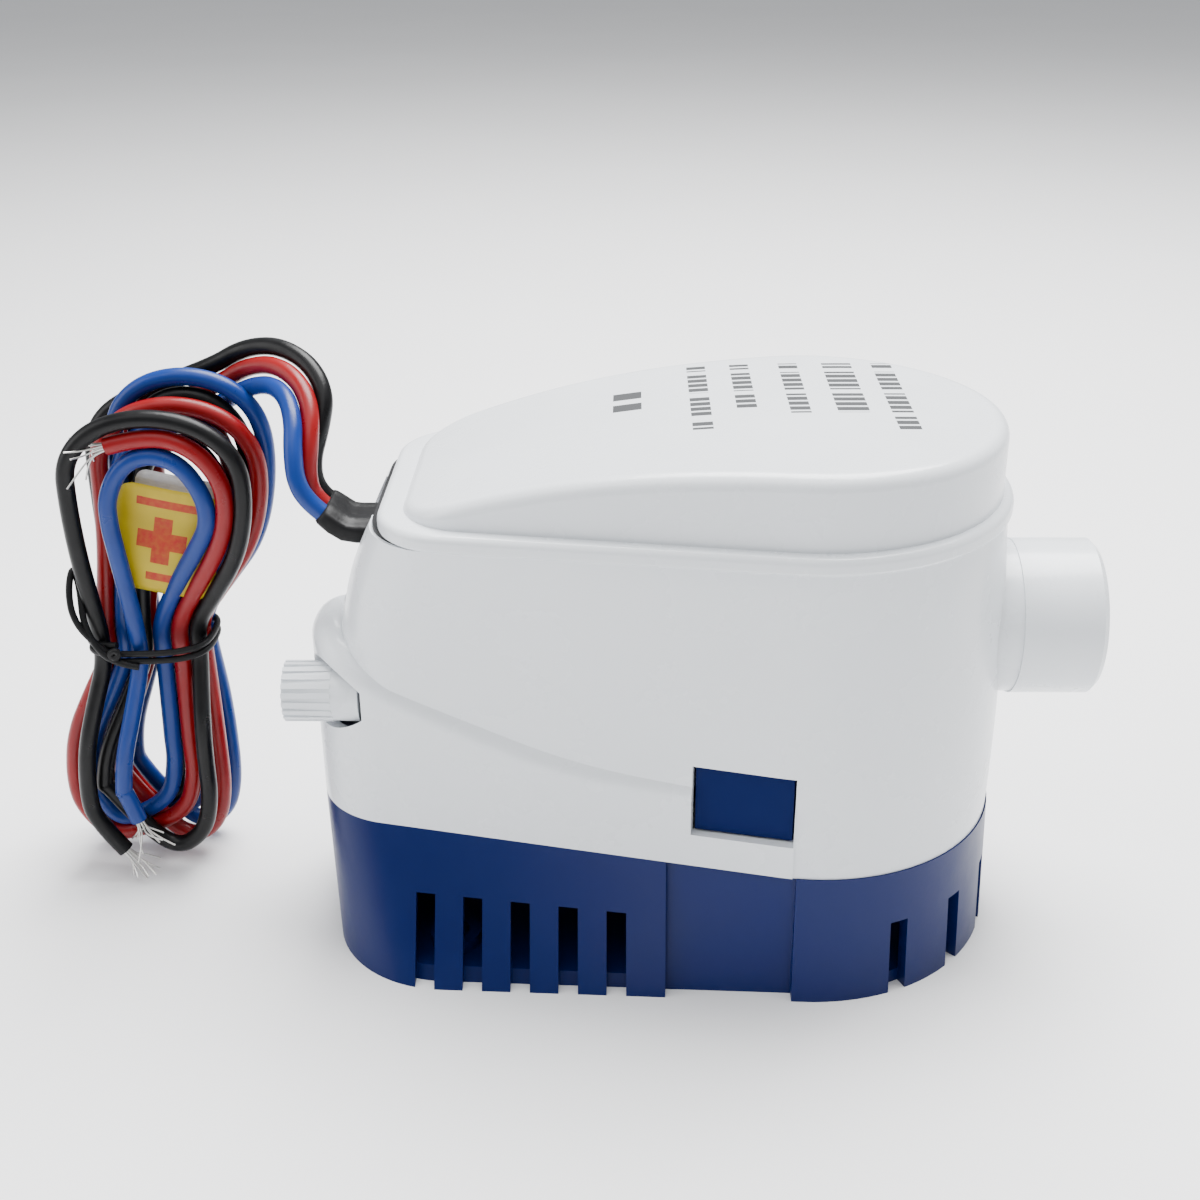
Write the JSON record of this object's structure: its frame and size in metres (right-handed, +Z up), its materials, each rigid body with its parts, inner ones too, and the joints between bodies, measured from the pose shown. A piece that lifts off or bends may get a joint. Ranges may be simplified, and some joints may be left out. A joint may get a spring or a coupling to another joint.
{
  "type": "automatic bilge pump",
  "caption": "Compact submersible bilge pump with slotted strainer base, domed cap, side hose port, float switch with test knob, and a tied hank of three leads.",
  "frame": {"origin": "floor level, under the middle of the pump's length and width, leads not counted", "axes": "+X along the pump toward the hose port, +Z up, +Y toward the side away from the test knob"},
  "size_m": [0.2008, 0.0738, 0.1114],
  "materials": {
    "upper_housing": "gloss",
    "top_cap": "gloss",
    "cap_gasket": "matte",
    "strainer_base": "semi gloss",
    "front_tab": "semi gloss",
    "back_tab": "semi gloss",
    "volute_casing": "satin",
    "volute_cover": "satin",
    "volute_screws": "satin",
    "discharge_nozzle": "gloss",
    "nozzle_oring": "matte",
    "shaft_seal": "matte",
    "seal_plate": "satin",
    "lower_bearing": "satin",
    "upper_bearing": "satin",
    "motor_can": "zinc plated",
    "brush_cap": "matte",
    "brushes": "graphite",
    "brush_springs": "satin",
    "motor_magnets": "matte",
    "motor_shaft": "polished",
    "armature_core": "satin",
    "armature_windings": "enamelled copper",
    "commutator": "satin",
    "impeller": "satin",
    "impeller_nut": "satin",
    "float_bracket": "satin",
    "switch_module": "matte",
    "float_axle": "satin",
    "float_block": "foam",
    "float_magnet": "matte",
    "test_knob": "gloss",
    "cable_boot": "satin",
    "wire_hank": "gloss",
    "hank_tie": "waxed cord",
    "polarity_tag": "satin",
    "lead_blue": "gloss",
    "lead_red": "gloss",
    "lead_black": "gloss"
  },
  "bodies": {
    "pump": {"upper_housing": "upper_housing", "top_cap": "top_cap", "cap_gasket": "cap_gasket", "strainer_base": "strainer_base", "volute_casing": "volute_casing", "volute_cover": "volute_cover", "volute_screws": "volute_screws", "discharge_nozzle": "discharge_nozzle", "nozzle_oring": "nozzle_oring", "shaft_seal": "shaft_seal", "seal_plate": "seal_plate", "lower_bearing": "lower_bearing", "upper_bearing": "upper_bearing", "motor_can": "motor_can", "brush_cap": "brush_cap", "brushes": "brushes", "brush_springs": "brush_springs", "motor_magnets": "motor_magnets", "float_bracket": "float_bracket", "switch_module": "switch_module", "cable_boot": "cable_boot", "wire_hank": "wire_hank", "hank_tie": "hank_tie", "polarity_tag": "polarity_tag", "lead_blue": "lead_blue", "lead_red": "lead_red", "lead_black": "lead_black"},
    "rotor": {"motor_shaft": "motor_shaft", "armature_core": "armature_core", "armature_windings": "armature_windings", "commutator": "commutator", "impeller": "impeller", "impeller_nut": "impeller_nut"},
    "float": {"float_axle": "float_axle", "float_block": "float_block", "float_magnet": "float_magnet", "test_knob": "test_knob"},
    "front_tab": {"front_tab": "front_tab"},
    "back_tab": {"back_tab": "back_tab"}
  },
  "joints": [
    {"name": "rotor_spin", "type": "hinge", "parent": "pump", "child": "rotor", "pos_m": [0.013, 0, 0.03], "axis": [0, 0, 1], "continuous": true},
    {"name": "float_swing", "type": "hinge", "parent": "pump", "child": "float", "pos_m": [-0.048, -0.01, 0.05], "axis": [1, 0, 0], "range_deg": [0, 35]},
    {"name": "front_tab_press", "type": "hinge", "parent": "pump", "child": "front_tab", "pos_m": [0.00992, -0.02762, 0.0236], "axis": [-0.9752, 0.2215, 0], "range_deg": [0, 8.5], "stiffness_Nm_per_rad": 0.5},
    {"name": "back_tab_press", "type": "hinge", "parent": "pump", "child": "back_tab", "pos_m": [0.00992, 0.02762, 0.0236], "axis": [0.9752, 0.2215, 0], "range_deg": [0, 8.5], "stiffness_Nm_per_rad": 0.5}
  ]
}
